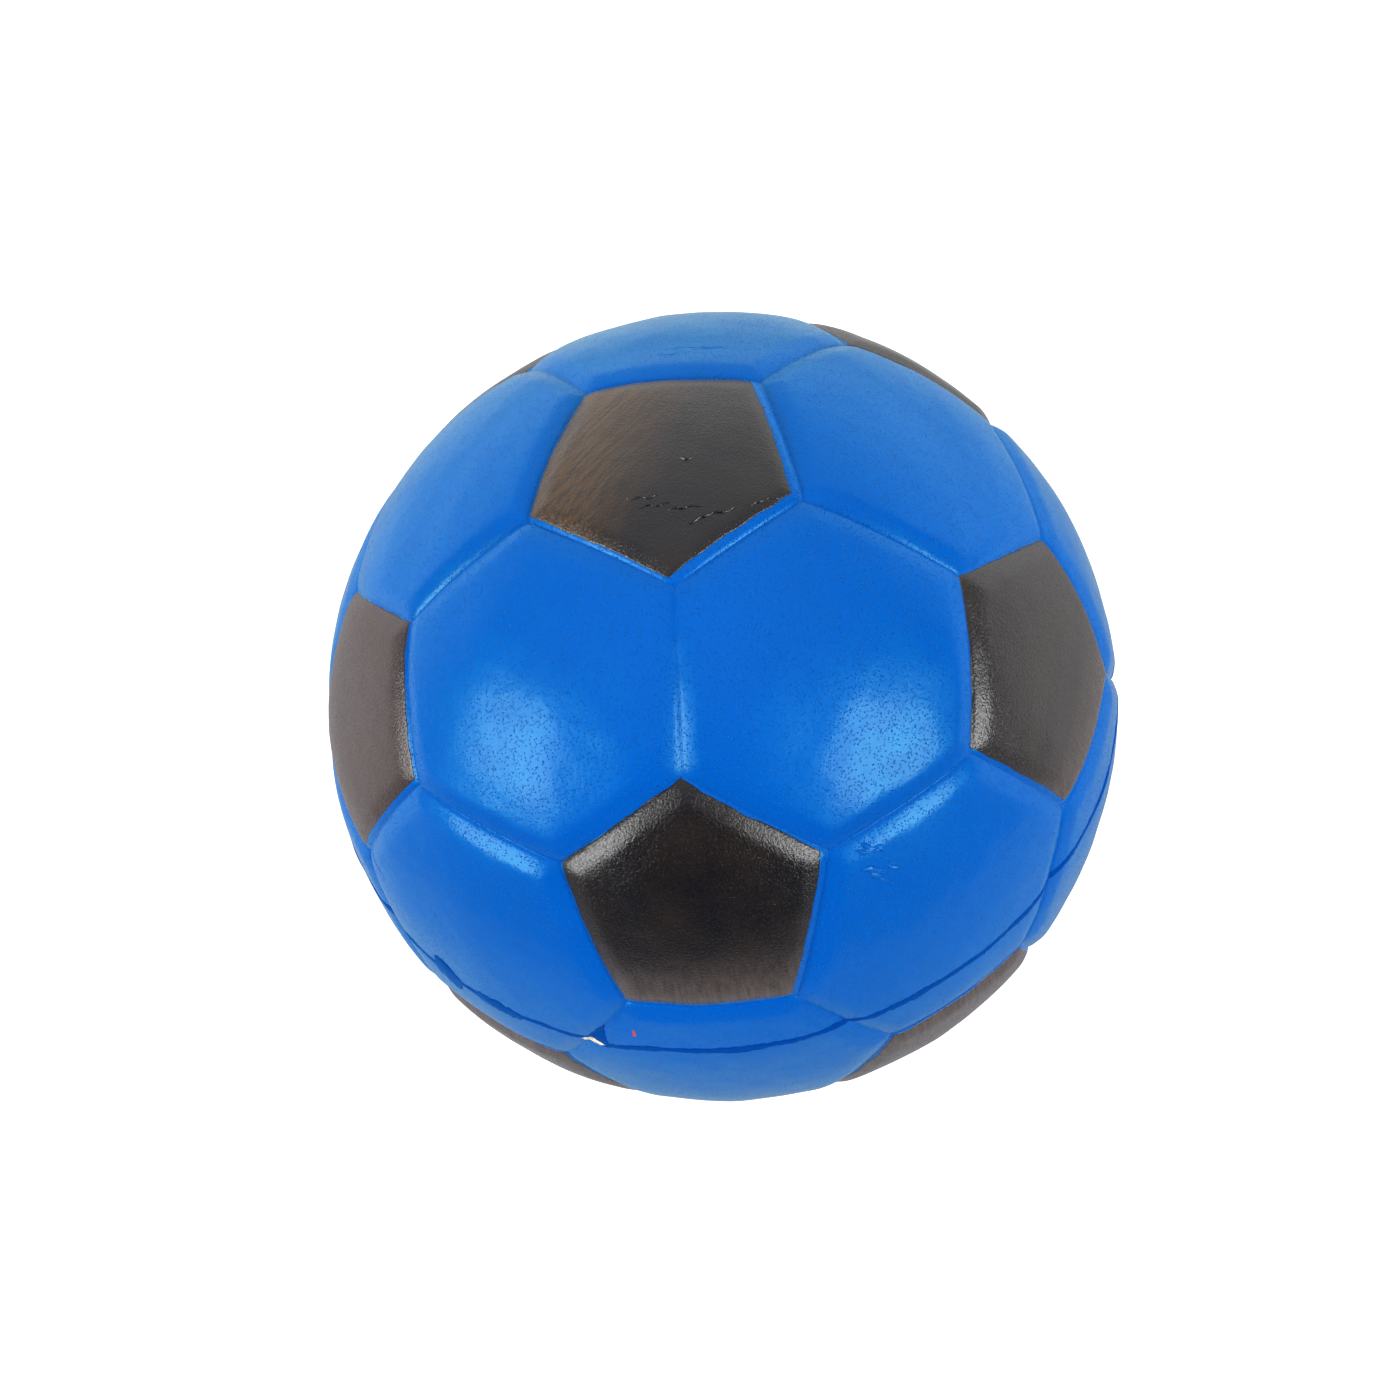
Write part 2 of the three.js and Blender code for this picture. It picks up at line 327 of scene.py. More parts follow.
class MeshMaker:
    """Collects rings of points and the faces between them, and makes one object of them."""

    def __init__(self):
        self.points = []
        self.faces = []
        self.count = 0

    def add_points(self, points):
        first = self.count
        self.points.append(np.asarray(points, float).reshape(-1, 3))
        self.count += len(self.points[-1])
        return first

    def band(self, outer, inner, size):
        """Faces between two rings of size points that start at the numbers outer and inner."""
        for j in range(size):
            k = (j + 1) % size
            self.faces.append((outer + j, outer + k, inner + k, inner + j))

    def disc(self, rings, apex, flip=False):
        """A surface of rings, outermost first, closed by a fan. Returns where its rings start."""
        size = len(rings[0])
        firsts = [self.add_points(each) for each in rings]
        tip = self.add_points(apex)
        begin = len(self.faces)
        for outer, inner in zip(firsts[:-1], firsts[1:], strict=True):
            self.band(outer, inner, size)
        self.faces += [(firsts[-1] + j, firsts[-1] + (j + 1) % size, tip) for j in range(size)]
        if flip:
            self.faces[begin:] = [face[::-1] for face in self.faces[begin:]]
        return firsts

    def mesh(self, name):
        mesh = bpy.data.meshes.new(name)
        mesh.from_pydata(np.concatenate(self.points).tolist(), [], self.faces)
        smooth(mesh)
        mesh.update()
        return mesh


def smooth(mesh):
    mesh.polygons.foreach_set("use_smooth", np.ones(len(mesh.polygons), bool))


def place_points(mesh, places):
    mesh.vertices.foreach_set("co", places.astype(np.float32).ravel())


def add_object(name, mesh, material, node=None):
    piece = bpy.data.objects.new(name, mesh)
    bpy.context.scene.collection.objects.link(piece)
    mesh.materials.clear()
    mesh.materials.append(material)
    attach(piece, "root")
    if node:
        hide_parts(node)
    return piece


# ---- the core and the two halves of the skin -------------------------------------------------


def add_core(material):
    """The foam inside: a ball with the hollows of its largest cells."""
    bm = bmesh.new()
    bmesh.ops.create_icosphere(bm, subdivisions=6, radius=1)
    mesh = bpy.data.meshes.new("foam_core")
    bm.to_mesh(mesh)
    bm.free()
    points = unit(np.array([vertex.co for vertex in mesh.vertices]))
    cells = np.abs(waves(points * CORE_RADIUS, CORE_CELLS, seed=31)).clip(0, CORE_CELLS[0])
    place_points(mesh, points * (CORE_RADIUS - cells)[:, None])
    smooth(mesh)
    core = add_object("foam_ball", mesh, material, "foam_core")


def outer_skin():
    """The whole outside as one closed mesh: every panel, sunk a little under the black paint."""
    maker = MeshMaker()
    for panel in [*PENTAGONS.values(), *HEXAGONS]:
        painted = len(panel.corners) == 5
        insets = np.array(panel.insets(PAINTED_STEP if painted else HEXAGON_STEP))
        lifts = -SINK * ((insets - SINK_BEGIN) / (SINK_END - SINK_BEGIN)).clip(0, 1) * painted
        rings = laid([panel.ring(inset) for inset in insets], lifts)
        maker.disc(rings, surface(panel.centre[None], lifts[-1:]))
    bm = bmesh.new()
    bm.from_mesh(maker.mesh("outer_skin"))
    bmesh.ops.remove_doubles(bm, verts=bm.verts, dist=WELD)
    return bm


def add_inner_dome(bm, seam, side):
    """The skin's inside, from its edge at the seam to the pole."""
    rows = []
    turns = [2 * math.pi * j / INNER_COLUMNS for j in range(INNER_COLUMNS)]
    for i in range(INNER_ROWS):
        rise = math.pi / 2 * i / INNER_ROWS
        radius = SKIN_INNER_RADIUS * math.cos(rise)
        height = side * max(SKIN_INNER_RADIUS * math.sin(rise), abs(seam))
        places = [(radius * math.cos(turn), radius * math.sin(turn), height) for turn in turns]
        rows.append([bm.verts.new(place) for place in places])
    tip = bm.verts.new((0, 0, side * SKIN_INNER_RADIUS))
    for lower, upper in zip(rows[:-1], rows[1:], strict=True):
        for j in range(INNER_COLUMNS):
            k = (j + 1) % INNER_COLUMNS
            bm.faces.new((lower[j], upper[j], upper[k], lower[k]))
    for j in range(INNER_COLUMNS):
        bm.faces.new((rows[-1][j], tip, rows[-1][(j + 1) % INNER_COLUMNS]))


def add_skin(whole, name, node, side, material):
    """One half of the skin: the outside cut at the seam, the inside, and the flat edge."""
    seam = side * SEAM_HALF_GAP
    bm = whole.copy()
    geometry = [*bm.verts, *bm.edges, *bm.faces]
    plane = {"plane_co": (0, 0, seam), "plane_no": (0, 0, side)}
    bmesh.ops.bisect_plane(bm, geom=geometry, clear_inner=True, **plane)
    add_inner_dome(bm, seam, side)
    for face in bm.faces:
        face.smooth = True
    rim = [edge for edge in bm.edges if edge.is_boundary]
    filled = bmesh.ops.triangle_fill(bm, edges=rim, use_beauty=True, normal=(0, 0, -side))
    for item in filled["geom"]:
        if isinstance(item, bmesh.types.BMFace):
            item.smooth = False
    bmesh.ops.recalc_face_normals(bm, faces=bm.faces)
    mesh = bpy.data.meshes.new(name)
    bm.to_mesh(mesh)
    bm.free()
    add_object(name, mesh, material, node)


# ---- paint -----------------------------------------------------------------------------------


def add_sheet(maker, rings, lifts, apex):
    """A closed thin sheet on the surface: rings with their lifts, outermost first, and a back."""
    top = laid(rings, lifts)
    back_rings = rings[:1] + rings[1:-1:BACK_EVERY] + rings[-1:]
    back = laid(back_rings, [-PAINT_BODY] * len(back_rings))
    edge = maker.disc(top, surface(apex[None], np.array([lifts[-1]])))[0]
    back_edge = maker.disc(back, surface(apex[None], np.array([-PAINT_BODY])), flip=True)[0]
    maker.band(back_edge, edge, len(rings[0]))


# How far the mask for the black paint was laid aside of the moulded pentagon, in mm.
PAINT_SHIFT = {
    "black_panel_top": (-0.12, -0.44, 0.0),
    "black_panel_upper_1": (-0.12, -0.18, 0.26),
    "black_panel_upper_2": (-0.05, -0.25, 0.34),
    "black_panel_upper_5": (-0.12, 0.0, 0.26),
}
PAINT_SHIFT_ELSEWHERE = (0.05, -0.05, 0.05)


def add_black_paint(node, panel, material):
    """One painted pentagon, with an edge that wanders as hand-laid paint does."""
    offsets = [each * MM for each in NEAR_PAINT_EDGE]
    inset = PAINT_INSET_ON_TOP if node == "black_panel_top" else PAINT_INSET
    last = panel.half_width * BALL_RADIUS - inset - PAINT_STEP
    offsets += list(np.arange(offsets[-1] + PAINT_STEP, last, PAINT_STEP))
    edge = panel.ring(inset) * BALL_RADIUS
    wobble = waves(edge, PAINT_EDGE_WAVES, seed=11) + waves(edge, PAINT_EDGE_RAGGED, seed=12)
    shift = np.array(PAINT_SHIFT.get(node, PAINT_SHIFT_ELSEWHERE)) * MM / BALL_RADIUS
    rings = []
    for each in offsets:
        ring = panel.ring(inset + each + wobble * math.exp(-each / PAINT_EDGE_FADE))
        rings.append(unit(ring + shift))
    lifts = [PAINT_LIFT * (1 - math.exp(-each / PAINT_ROUND)) for each in offsets]
    maker = MeshMaker()
    add_sheet(maker, rings, lifts, unit(panel.centre + shift))
    name = node.replace("panel", "paint")
    add_object(name, maker.mesh(name), material, node)


# Blots of touch-up paint on the parting line: the azimuth of the middle and half of the length
# in degrees, then how far it reaches above and below the line.
BLOTS = [
    (-42.0, 2.6, 0.95 * MM, 0.85 * MM),
    (-32.4, 3.8, 0.5 * MM, 0.35 * MM),
    (4.0, 2.5, 0.12 * MM, 0.06 * MM),
    (28.0, 4.0, 0.1 * MM, 0.15 * MM),
    (118.0, 3.0, 0.5 * MM, 0.2 * MM),
    (171.0, 2.0, 0.2 * MM, 0.5 * MM),
    (-128.0, 4.0, 0.35 * MM, 0.3 * MM),
]


def blot_reach(azimuths, side):
    """How much further the paint reaches at each azimuth, above the line or below it."""
    reach = np.zeros(len(azimuths))
    for middle, half_length, above, below in BLOTS:
        away = np.abs((azimuths - middle + 180) % 360 - 180) / half_length
        square_ended = np.sqrt(np.clip(1 - away**6, 0, 1))
        reach += (above if side > 0 else below) * square_ended
    return reach


def add_parting_line(material):
    """The bead of dark blue paint over the trimmed flash, all the way round."""
    azimuths = np.arange(SEAM_STEPS) * 360 / SEAM_STEPS
    turns = np.radians(azimuths)
    line = np.stack([np.cos(turns), np.sin(turns), np.zeros(SEAM_STEPS)], axis=1)
    along = line * BALL_RADIUS
    wander = waves(along, SEAM_WANDER, seed=21)
    from_tear = (azimuths - TEAR_AZIMUTH + 180) % 360 - 180
    wander -= TEAR_DIP * np.exp(-((from_tear / TEAR_SPREAD) ** 2))
    heights = []  # how far the paint reaches below the line and above it
    for side in (-1, 1):
        ragged = 1 + waves(along, SEAM_UNEVEN, seed=22 + side)
        ragged += waves(along, SEAM_RAGGED, seed=25 + side)
        blots = blot_reach(azimuths, side) * ragged.clip(0.6, 1.3)
        heights.append(SEAM_PAINT_HALF_WIDTH * ragged.clip(0.3, 2) + blots)
    proud = SEAM_PAINT_PROUD * (1 + waves(along, SEAM_THICKNESS, seed=29)).clip(0.4, 1.6)
    # The section goes up across the crowned face, then back down along the underside.
    across = np.linspace(-1, 1, SEAM_ACROSS)
    columns = [(u, proud * (1 - abs(u) ** 2.5) + SEAM_PAINT_LEAST) for u in across]
    columns += [(u, np.full(SEAM_STEPS, -PAINT_BODY)) for u in (0.9, 0, -0.9)]
    sections = []
    for u, lift in columns:
        height = wander + u * (heights[1] if u > 0 else heights[0])
        upward = np.stack([0 * turns, 0 * turns, height / BALL_RADIUS], axis=1)
        sections.append(surface(unit(line + upward), lift))
    maker = MeshMaker()
    firsts = [maker.add_points(section) for section in np.stack(sections, axis=1)]
    for first, following in zip(firsts, firsts[1:] + firsts[:1], strict=True):
        maker.band(following, first, len(columns))
    name = "parting_line_paint"
    add_object(name, maker.mesh(name), material, "parting_flash")


# Small patches near the tear: the azimuths in degrees and the heights in mm of their corners.
TORN_FLAP = [(-18.9, -0.2), (-15.4, -0.4), (-16.0, 2.2)]
BARE_FOAM = [(-19.4, -0.72), (-16.4, -0.74), (-16.1, -0.5), (-17.2, -0.32), (-19.4, -0.32)]
RED_SPECK = [(-11.45, 1.6), (-10.95, 1.65), (-11.1, 2.45), (-11.4, 2.3)]


def add_patch(name, corners, lift, rough, material):
    """A small closed patch, lift high in the middle, with bumps as high as rough."""
    outline = []
    for corner, following in zip(np.array(corners), np.roll(corners, -1, axis=0), strict=True):
        for share in np.arange(PATCH_STEPS_PER_SIDE) / PATCH_STEPS_PER_SIDE:
            azimuth, height = corner + share * (following - corner)
            latitude = math.degrees(math.asin(height * MM / BALL_RADIUS))
            outline.append(direction(azimuth, latitude))
    outline = np.array(outline)
    middle = unit(outline.mean(axis=0))
    wobble = 1 + waves(outline * BALL_RADIUS, PATCH_EDGE, seed=41)
    outline = unit(middle + wobble[:, None] * (outline - middle))
    shares = [1, 0.96, 0.88, 0.76, 0.6, 0.42, 0.22]
    rings = [unit(middle + share * (outline - middle)) for share in shares]
    maker = MeshMaker()
    add_sheet(maker, rings, [lift * (1 - share**3) for share in shares], middle)
    mesh = maker.mesh(name)
    places = np.array([vertex.co for vertex in mesh.vertices])
    bumps = waves(places, (rough, 0.25 * MM), seed=42)
    place_points(mesh, places + unit(places) * bumps[:, None])
    add_object(name, mesh, material)


# Wrinkles where the skin or the paint has puckered: the azimuth and latitude of both ends in
# degrees, and half of the width. The first eight are beside the front pentagon's right corner.
SKIN_WRINKLES = [
    (26.7, 29.9, 29.9, 28.0, 0.18 * MM),
    (25.6, 29.2, 29.2, 27.8, 0.17 * MM),
    (28.1, 29.1, 30.0, 27.2, 0.15 * MM),
    (25.2, 26.8, 28.4, 25.0, 0.2 * MM),
    (29.5, 26.5, 30.8, 25.5, 0.15 * MM),
    (29.5, 25.3, 30.8, 24.0, 0.18 * MM),
    (26.5, 25.4, 28.0, 24.2, 0.16 * MM),
    (27.6, 24.1, 29.1, 22.0, 0.15 * MM),
    (-174, 66.0, -196, 65.1, 0.05 * MM),
    (-186, 66.4, -206, 64.4, 0.05 * MM),
    (-170, 67.5, -188, 67.2, 0.05 * MM),
    (-60, 12.0, -54, 10.5, 0.06 * MM),
]
PAINT_WRINKLES = [
    (-40, 81.4, -6, 83.4, 0.06 * MM),
    (-24, 81.0, 6, 82.3, 0.07 * MM),
    (0, 81.0, 30, 80.4, 0.08 * MM),
    (15, 78.6, 47, 77.3, 0.09 * MM),
    (53, 76.0, 66, 73.7, 0.08 * MM),
    (72, 88.2, 80, 86.3, 0.09 * MM),
    (17.7, 31.7, 19.6, 30.9, 0.07 * MM),
    (17.7, 30.7, 19.2, 30.0, 0.05 * MM),
    (18.2, 29.2, 19.0, 28.5, 0.06 * MM),
]


def add_wrinkles(name, wrinkles, steepness, under, material):
    """Thin ridges that taper at both ends. The surface they are on is lifted by under."""
    maker = MeshMaker()
    across = np.array([-1, -0.6, -0.25, 0, 0.25, 0.6, 1, 0])  # the last one is the underside
    for azimuth, latitude, end_azimuth, end_latitude, half_width in wrinkles:
        start, end = direction(azimuth, latitude), direction(end_azimuth, end_latitude)
        count = 6 + int(BALL_RADIUS * math.acos(start @ end) / WRINKLE_STEP)
        share = np.linspace(0, 1, count)[:, None]
        line = unit(start + share * (end - start))
        aside = unit(np.cross(start, end))
        bend = waves(line * BALL_RADIUS, WRINKLE_BEND, seed=51)
        line = unit(line + (bend / BALL_RADIUS)[:, None] * aside)
        body = (1.1 + waves(line * BALL_RADIUS, WRINKLE_SIZE, seed=52)).clip(0.2, 1.6)
        body = body * np.sqrt(1 - (0.98 * (2 * share[:, 0] - 1)) ** 2)
        firsts = []
        for place, size in zip(line, body, strict=True):
            section = unit(place + np.outer(across * size * half_width / BALL_RADIUS, aside))
            lift = steepness * size * half_width * (1 - np.abs(across)) + under
            lift[-1] = under - WRINKLE_BODY
            firsts.append(maker.add_points(surface(section, lift)))
        for near, far in zip(firsts[:-1], firsts[1:], strict=True):
            maker.band(far, near, len(across))
        maker.faces.append([firsts[0] + k for k in range(len(across))])
        maker.faces.append([firsts[-1] + k for k in range(len(across))][::-1])
    add_object(name, maker.mesh(name), material)


# ---- materials -------------------------------------------------------------------------------


class Surface:
    """A material with a Principled shader and the nodes that feed it."""

    def __init__(self, name, **sockets):
        self.material = bpy.data.materials.new(name)
        self.material.use_nodes = True
        self.tree = self.material.node_tree
        self.shader = self.tree.nodes["Principled BSDF"]
        for socket, value in sockets.items():
            self.shader.inputs[socket.replace("_", " ")].default_value = value
        self.place = self.add("ShaderNodeTexCoord").outputs["Object"]

    def add(self, kind, settings=(), **inputs):
        node = self.tree.nodes.new(kind)
        for key, value in dict(settings).items():
            setattr(node, key, value)
        for socket, value in inputs.items():
            self.connect(node.inputs[socket.replace("_", " ")], value)
        return node

    def connect(self, socket, value):
        if isinstance(value, bpy.types.NodeSocket):
            self.tree.links.new(value, socket)
        else:
            socket.default_value = value

    def noise(self, size, detail=2.0, roughness=0.5, place=None):
        """Noise from 0 to 1 whose lumps are about size across."""
        inputs = {"Scale": 1 / size, "Detail": detail, "Roughness": roughness}
        return self.add("ShaderNodeTexNoise", Vector=place or self.place, **inputs).outputs["Fac"]

    def cells(self, size):
        """The distance from the middle of the nearest of the cells that are size across."""
        node = self.add("ShaderNodeTexVoronoi", Vector=self.place, Scale=1 / size)
        return node.outputs["Distance"]

    def spread(self, value, low, high, start=0.0, end=1.0):
        """Maps low to high onto start to end, and stays there beyond."""
        limits = {"From_Min": low, "From_Max": high, "To_Min": start, "To_Max": end}
        settings = {"interpolation_type": "SMOOTHSTEP"}
        node = self.add("ShaderNodeMapRange", settings, Value=value, **limits)
        return node.outputs["Result"]

    def math(self, operation, a, b):
        node = self.add("ShaderNodeMath", {"operation": operation})
        self.connect(node.inputs[0], a)
        self.connect(node.inputs[1], b)
        return node.outputs["Value"]

    def mix(self, factor, a, b):
        """The colour a where factor is 0, and b where it is 1."""
        node = self.add("ShaderNodeMix", {"data_type": "RGBA"})
        self.connect(node.inputs[0], factor)
        self.connect(node.inputs[6], a)
        self.connect(node.inputs[7], b)
        return node.outputs[2]

    def stretched(self, lengths, turn=0.0):
        """The place for a pattern drawn out by lengths along axes turned by turn about Z."""
        inputs = {"Scale": lengths, "Rotation": (0, 0, math.radians(turn))}
        settings = {"vector_type": "TEXTURE"}
        node = self.add("ShaderNodeMapping", settings, Vector=self.place, **inputs)
        return node.outputs["Vector"]

    def bump(self, height, distance, under=None):
        """A normal for bumps up to distance high, on top of the normal under."""
        node = self.add("ShaderNodeBump", Height=height, Distance=distance)
        if under:
            self.connect(node.inputs["Normal"], under)
        return node.outputs["Normal"]

    def set(self, socket, value):
        self.connect(self.shader.inputs[socket], value)


def blue_skin():
    """Self-skinned foam with blue pigment: smooth, a little glossy, full of tiny pits."""
    # The coat's tint takes the red out of the reflections under it, and so keeps the blue pure.
    coat = {"Coat_Weight": 0.95, "Coat_IOR": 1.165, "Coat_Roughness": 0.21}
    skin = Surface("blue_skin", IOR=1.4, Coat_Tint=(0, 1, 1, 1), **coat)
    shade = skin.noise(11 * MM, detail=3)
    colour = skin.mix(shade, (0.0, 0.077, 0.43, 1), (0.0, 0.095, 0.51, 1))
    pits = skin.spread(skin.cells(0.2 * MM), 0.15, 0.33)
    # Each pit is also painted a little darker: painted shade in the pits.
    colour = skin.mix(skin.spread(pits, 0, 1, 0.12, 0), colour, (0.0, 0.04, 0.35, 1))
    skin.set("Base Color", colour)
    sheen = skin.spread(skin.noise(3 * MM, detail=3), 0.3, 0.7, 0.32, 0.4)
    skin.set("Roughness", skin.math("ADD", sheen, skin.spread(pits, 0, 1, 0.3, 0)))
    ripple = skin.bump(skin.noise(0.5 * MM, detail=3, roughness=0.6), 0.02 * MM)
    pitted = skin.bump(pits, 0.045 * MM, ripple)
    skin.set("Normal", pitted)
    skin.set("Coat Normal", pitted)
    return skin.material


def black_paint():
    """Black paint brushed thinly over the skin, which shows through brown where it is thinnest; the
    brown towards the sides, the rim and the top's -Y edge is partly painted reflection.
    """
    paint = Surface("black_paint", IOR=1.56)
    axes = paint.add("ShaderNodeSeparateXYZ", Vector=paint.place).outputs
    x, y, z = axes["X"], axes["Y"], axes["Z"]
    patchy = paint.noise(7 * MM, detail=3)
    patches = paint.spread(patchy, 0.35, 0.65)
    colour = paint.mix(patches, (0.003, 0.003, 0.006, 1), (0.009, 0.006, 0.006, 1))
    # Browner towards both sides, and downwards in upright streaks, as at the rim in the photo.
    # Part of this brown is painted reflection, so from the side the lower belt looks too pale.
    colour = paint.mix(paint.spread(y, -26 * MM, -12 * MM, 0.35, 0), colour, (0.09, 0.035, 0.03, 1))
    colour = paint.mix(paint.spread(y, 12 * MM, 26 * MM, 0, 0.13), colour, (0.09, 0.068, 0.055, 1))
    upright = paint.noise(0.3 * MM, detail=3, place=paint.stretched((1, 1, 16)))
    low = paint.spread(z, 5 * MM, 11.5 * MM, 1, 0)
    low = paint.math("MULTIPLY", low, paint.spread(upright, 0.3, 0.7, 0.4, 0.95))
    colour = paint.mix(low, colour, (0.085, 0.06, 0.055, 1))
    # On the top pentagon it is browner towards -Y, in streaks along that edge: partly thin paint,
    # partly painted reflection.
    slanting = paint.noise(0.3 * MM, detail=3, place=paint.stretched((12, 1, 1), -41))
    leftward = paint.math("ADD", y, paint.math("MULTIPLY", x, 0.35))
    thin_and_painted_reflection = paint.spread(leftward, -7 * MM, 1 * MM, 1, 0)
    thin_and_painted_reflection = paint.math("MULTIPLY", thin_and_painted_reflection, paint.spread(slanting, 0.3, 0.7, 0.25, 1))
    thin_and_painted_reflection = paint.math("MULTIPLY", thin_and_painted_reflection, paint.spread(z, 25 * MM, 28 * MM))
    colour = paint.mix(thin_and_painted_reflection, colour, (0.08, 0.038, 0.01, 1))
    paint.set("Base Color", colour)
    grain = paint.noise(0.19 * MM, detail=2, roughness=0.7)
    sheen = paint.spread(patchy, 0.3, 0.7, 0.22, 0.28)
    paint.set("Roughness", paint.math("ADD", sheen, paint.spread(grain, 0.4, 0.7, 0, 0.08)))
    flow = paint.bump(paint.noise(0.6 * MM, detail=3, roughness=0.6), 0.02 * MM)
    paint.set("Normal", paint.bump(grain, 0.05 * MM, flow))
    return paint.material


def dark_blue_paint():
    """Touch-up paint, darker and glossier than the skin."""
    coat = {"Coat_Weight": 0.95, "Coat_IOR": 1.02, "Coat_Roughness": 0.2}
    paint = Surface("dark_blue_paint", IOR=1.3, Coat_Tint=(0, 0.85, 1, 1), **coat)
    shade = paint.noise(0.9 * MM, detail=3)
    colour = paint.mix(shade, (0.0, 0.04, 0.27, 1), (0.0, 0.055, 0.34, 1))
    paint.set("Base Color", colour)
    paint.set("Roughness", paint.spread(paint.noise(0.5 * MM), 0.3, 0.7, 0.12, 0.24))
    paint.set("Normal", paint.bump(paint.noise(0.35 * MM, detail=3), 0.03 * MM))
    return paint.material


def cream_foam():
    """Bare foam: matt, with open cells."""
    foam = Surface("cream_foam", IOR=1.4)
    cells = foam.cells(0.32 * MM)
    # The hollows of the cells are painted darker: painted shade.
    colour = foam.mix(foam.spread(cells, 0.1, 0.6), (0.62, 0.52, 0.36, 1), (0.86, 0.80, 0.62, 1))
    foam.set("Base Color", colour)
    foam.set("Roughness", foam.spread(foam.noise(1.5 * MM), 0.3, 0.7, 0.75, 0.95))
    foam.set("Normal", foam.bump(cells, 0.12 * MM))
    return foam.material


def red_paint():
    """A stray speck of red paint."""
    paint = Surface("red_paint", IOR=1.5)
    shade = paint.noise(0.3 * MM)
    paint.set("Base Color", paint.mix(shade, (0.35, 0.02, 0.03, 1), (0.6, 0.06, 0.05, 1)))
    paint.set("Roughness", paint.spread(paint.noise(0.2 * MM), 0.3, 0.7, 0.3, 0.5))
    return paint.material


# ---- the studio ------------------------------------------------------------------------------


def camera_axes():
    """The camera's right, up and back as unit vectors."""
    back = Vector(direction(CAMERA_AZIMUTH, CAMERA_ELEVATION))
    level = Vector((0, 0, 1)).cross(back).normalized()
    upright = back.cross(level)
    roll = math.radians(CAMERA_ROLL)
    right = level * math.cos(roll) - upright * math.sin(roll)
    up = level * math.sin(roll) + upright * math.cos(roll)
    return right, up, back


def add_camera():
    right, up, back = camera_axes()
    data = bpy.data.cameras.new("camera")
    data.lens = CAMERA_LENS
    data.clip_start, data.clip_end = 0.01, 20
    camera = bpy.data.objects.new("camera", data)
    bpy.context.scene.collection.objects.link(camera)
    place = back * CAMERA_DISTANCE + right * CAMERA_ASIDE + up * CAMERA_ABOVE
    turn = Matrix((right, up, back)).transposed().to_4x4()
    camera.matrix_world = Matrix.Translation(place) @ turn
    bpy.context.scene.camera = camera


def add_softbox(name, azimuth, elevation):
    """A round light that faces the ball."""
    data = bpy.data.lights.new(name, "AREA")
    data.shape = "DISK"
    data.size = SOFTBOX_SIZE
    data.energy = (math.pi * SOFTBOX_SIZE / 2) ** 2 * SOFTBOX_RADIANCE
    light = bpy.data.objects.new(name, data)
    bpy.context.scene.collection.objects.link(light)
    towards = Vector(direction(azimuth, elevation))
    light.location = towards * SOFTBOX_DISTANCE
    light.rotation_euler = towards.to_track_quat("Z", "Y").to_euler()
    light.visible_camera = False


def add_floor():
    """A wide pale floor that the ball's flat rests on, with painted shade: greyer near the ball and
    dark far out in front.
    """
    mesh = bpy.data.meshes.new("floor")
    bm = bmesh.new()
    bmesh.ops.create_circle(bm, cap_ends=True, radius=FLOOR_RADIUS, segments=64)
    bmesh.ops.translate(bm, verts=bm.verts, vec=(0, 0, CONTACT_HEIGHT))
    bm.to_mesh(mesh)
    bm.free()
    floor = bpy.data.objects.new("floor", mesh)
    bpy.context.scene.collection.objects.link(floor)
    paper = Surface("floor", Roughness=0.9)
    x = paper.add("ShaderNodeSeparateXYZ", Vector=paper.place).outputs["X"]
    length = paper.add("ShaderNodeVectorMath", {"operation": "LENGTH"})
    paper.connect(length.inputs[0], paper.place)
    away = length.outputs["Value"]
    # Pale near the ball and everywhere behind it, and whiter further out. The grey near the ball
    # and the dark part far out in front are painted shade.
    near = paper.spread(away, 85 * MM, 125 * MM, 1, 0)
    behind = paper.spread(paper.math("DIVIDE", x, away), 0.0, 0.4, 1, 0)
    distance = paper.spread(away, 70 * MM, 190 * MM)
    white = paper.mix(distance, (0.52, 0.52, 0.52, 1), (0.88, 0.88, 0.88, 1))
    pale = paper.math("MAXIMUM", near, behind)
    paper.set("Base Color", paper.mix(pale, (0.06, 0.06, 0.06, 1), white))
    paper.shader.inputs["Emission Color"].default_value = (1, 1, 1, 1)
    seen = paper.add("ShaderNodeLightPath").outputs["Is Camera Ray"]
    paper.set("Emission Strength", paper.spread(seen, 0, 1, 0, FLOOR_GLOW))
    mesh.materials.append(paper.material)


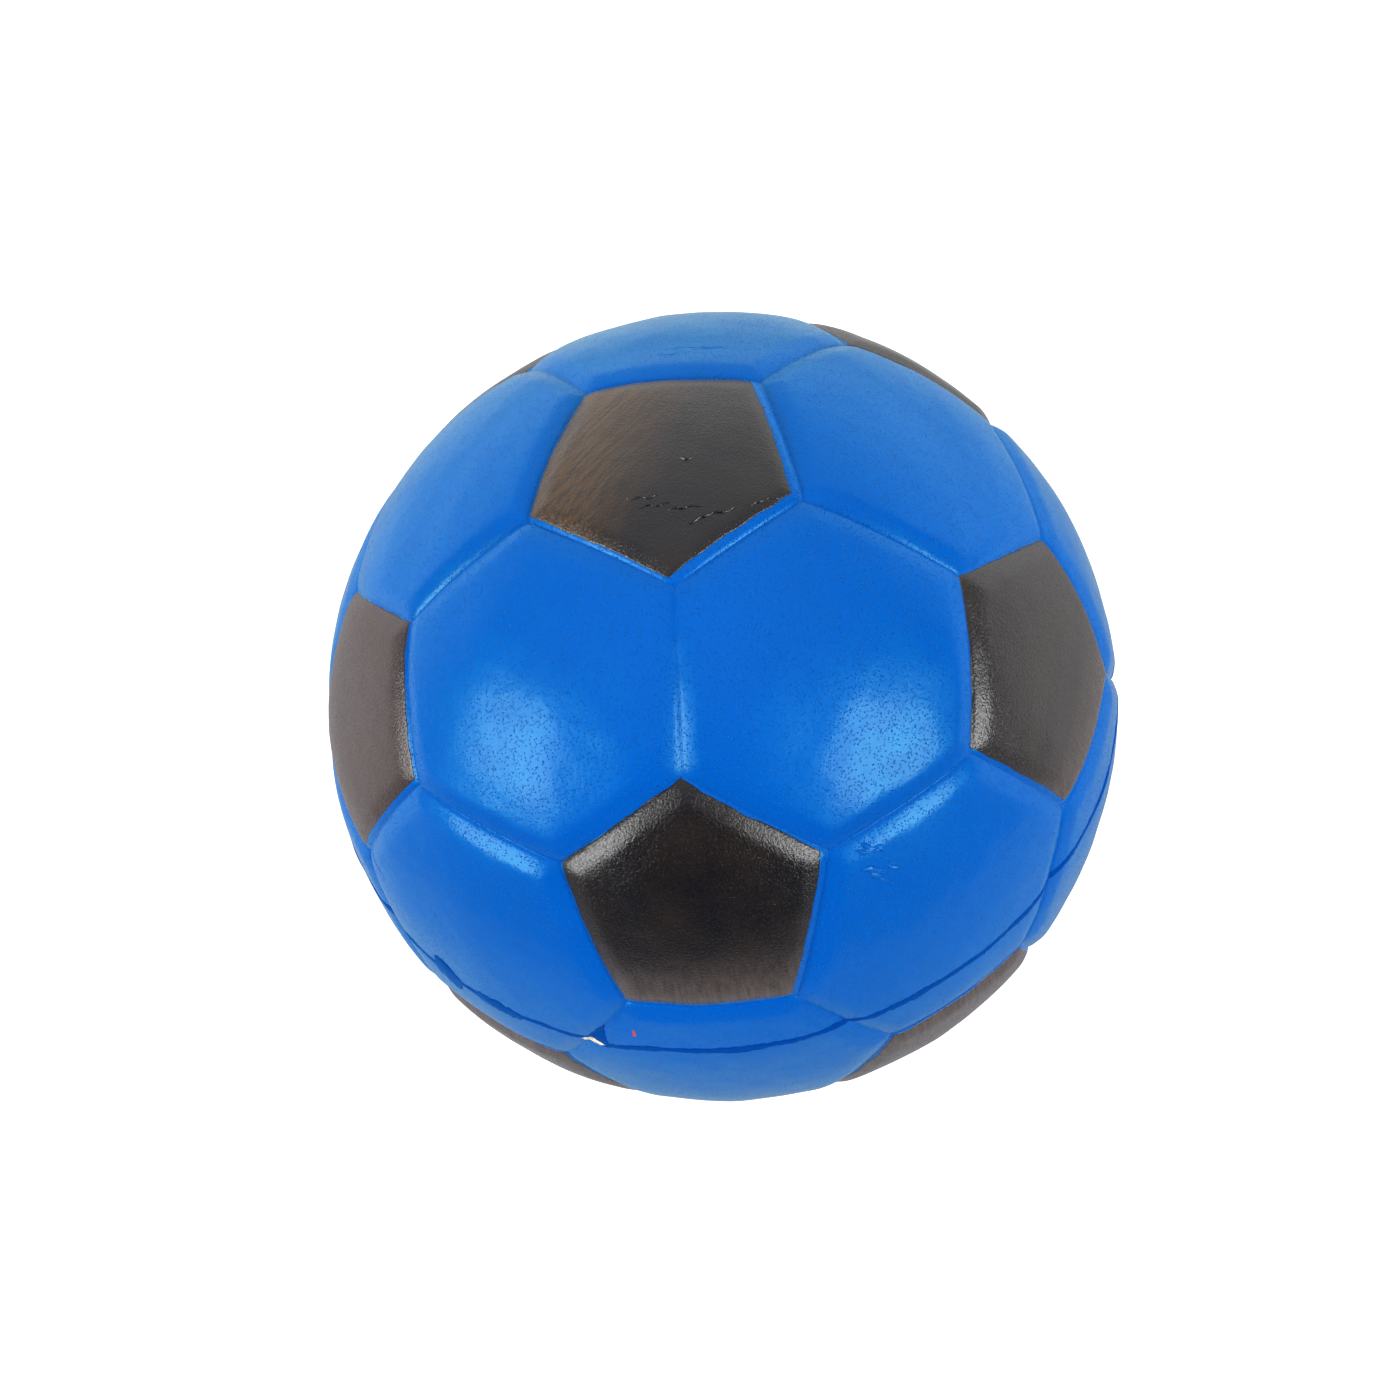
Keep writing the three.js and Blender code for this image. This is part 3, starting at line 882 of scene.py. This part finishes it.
def add_world():
    """White where the camera sees it, and for all else a room: dark in front, bright behind."""
    world = bpy.data.worlds.new("studio")
    bpy.context.scene.world = world
    world.use_nodes = True
    tree = world.node_tree
    tree.nodes.clear()
    link = tree.links.new

    def combine(operation, a, b):
        node = tree.nodes.new("ShaderNodeMath")
        node.operation = operation
        link(a, node.inputs[0])
        link(b, node.inputs[1])
        return node.outputs["Value"]

    def shade(value, limits):
        node = tree.nodes.new("ShaderNodeMapRange")
        node.interpolation_type = "SMOOTHSTEP"
        for socket, limit in zip(("From Min", "From Max", "To Min", "To Max"), limits, strict=True):
            node.inputs[socket].default_value = limit
        link(value, node.inputs["Value"])
        return node.outputs["Result"]

    def background():
        node = tree.nodes.new("ShaderNodeBackground")
        node.inputs["Color"].default_value = (1, 1, 1, 1)
        node.inputs["Strength"].default_value = 1
        return node

    heading = tree.nodes.new("ShaderNodeTexCoord").outputs["Generated"]
    along = tree.nodes.new("ShaderNodeVectorMath")
    along.operation = "DOT_PRODUCT"
    along.inputs[1].default_value = direction(*DARK_SIDE)
    link(heading, along.inputs[0])
    split = tree.nodes.new("ShaderNodeSeparateXYZ")
    link(heading, split.inputs[0])
    height = split.outputs["Z"]
    walls = combine("MULTIPLY", shade(along.outputs["Value"], ROOM), shade(height, HAZE))
    room, white = background(), background()
    link(combine("MAXIMUM", walls, shade(height, CEILING)), room.inputs["Strength"])
    choose = tree.nodes.new("ShaderNodeMixShader")
    link(tree.nodes.new("ShaderNodeLightPath").outputs["Is Camera Ray"], choose.inputs[0])
    link(room.outputs[0], choose.inputs[1])
    link(white.outputs[0], choose.inputs[2])
    output = tree.nodes.new("ShaderNodeOutputWorld")
    link(choose.outputs[0], output.inputs["Surface"])


# ---- everything together ---------------------------------------------------------------------

add_camera()
add_world()
for name, angles in SOFTBOXES.items():
    add_softbox(name, *angles)
add_floor()

blue, black, dark_blue = blue_skin(), black_paint(), dark_blue_paint()
cream, red = cream_foam(), red_paint()
add_core(cream)
whole_skin = outer_skin()
add_skin(whole_skin, "skin_upper", "skin_upper_half", 1, blue)
add_skin(whole_skin, "skin_lower", "skin_lower_half", -1, blue)
whole_skin.free()
for node, panel in PENTAGONS.items():
    add_black_paint(node, panel, black)
add_parting_line(dark_blue)
add_wrinkles("skin_wrinkles", SKIN_WRINKLES, SKIN_STEEPNESS, 0, blue)
add_wrinkles("paint_wrinkles", PAINT_WRINKLES, PAINT_STEEPNESS, PAINT_LIFT, black)
add_patch("torn_flap", TORN_FLAP, 0.05 * MM, 0.012 * MM, dark_blue)
add_patch("bare_foam", BARE_FOAM, 0.13 * MM, 0.02 * MM, cream)
add_patch("red_speck", RED_SPECK, 0.03 * MM, 0.004 * MM, red)

bpy.context.scene.view_settings.view_transform = "Standard"
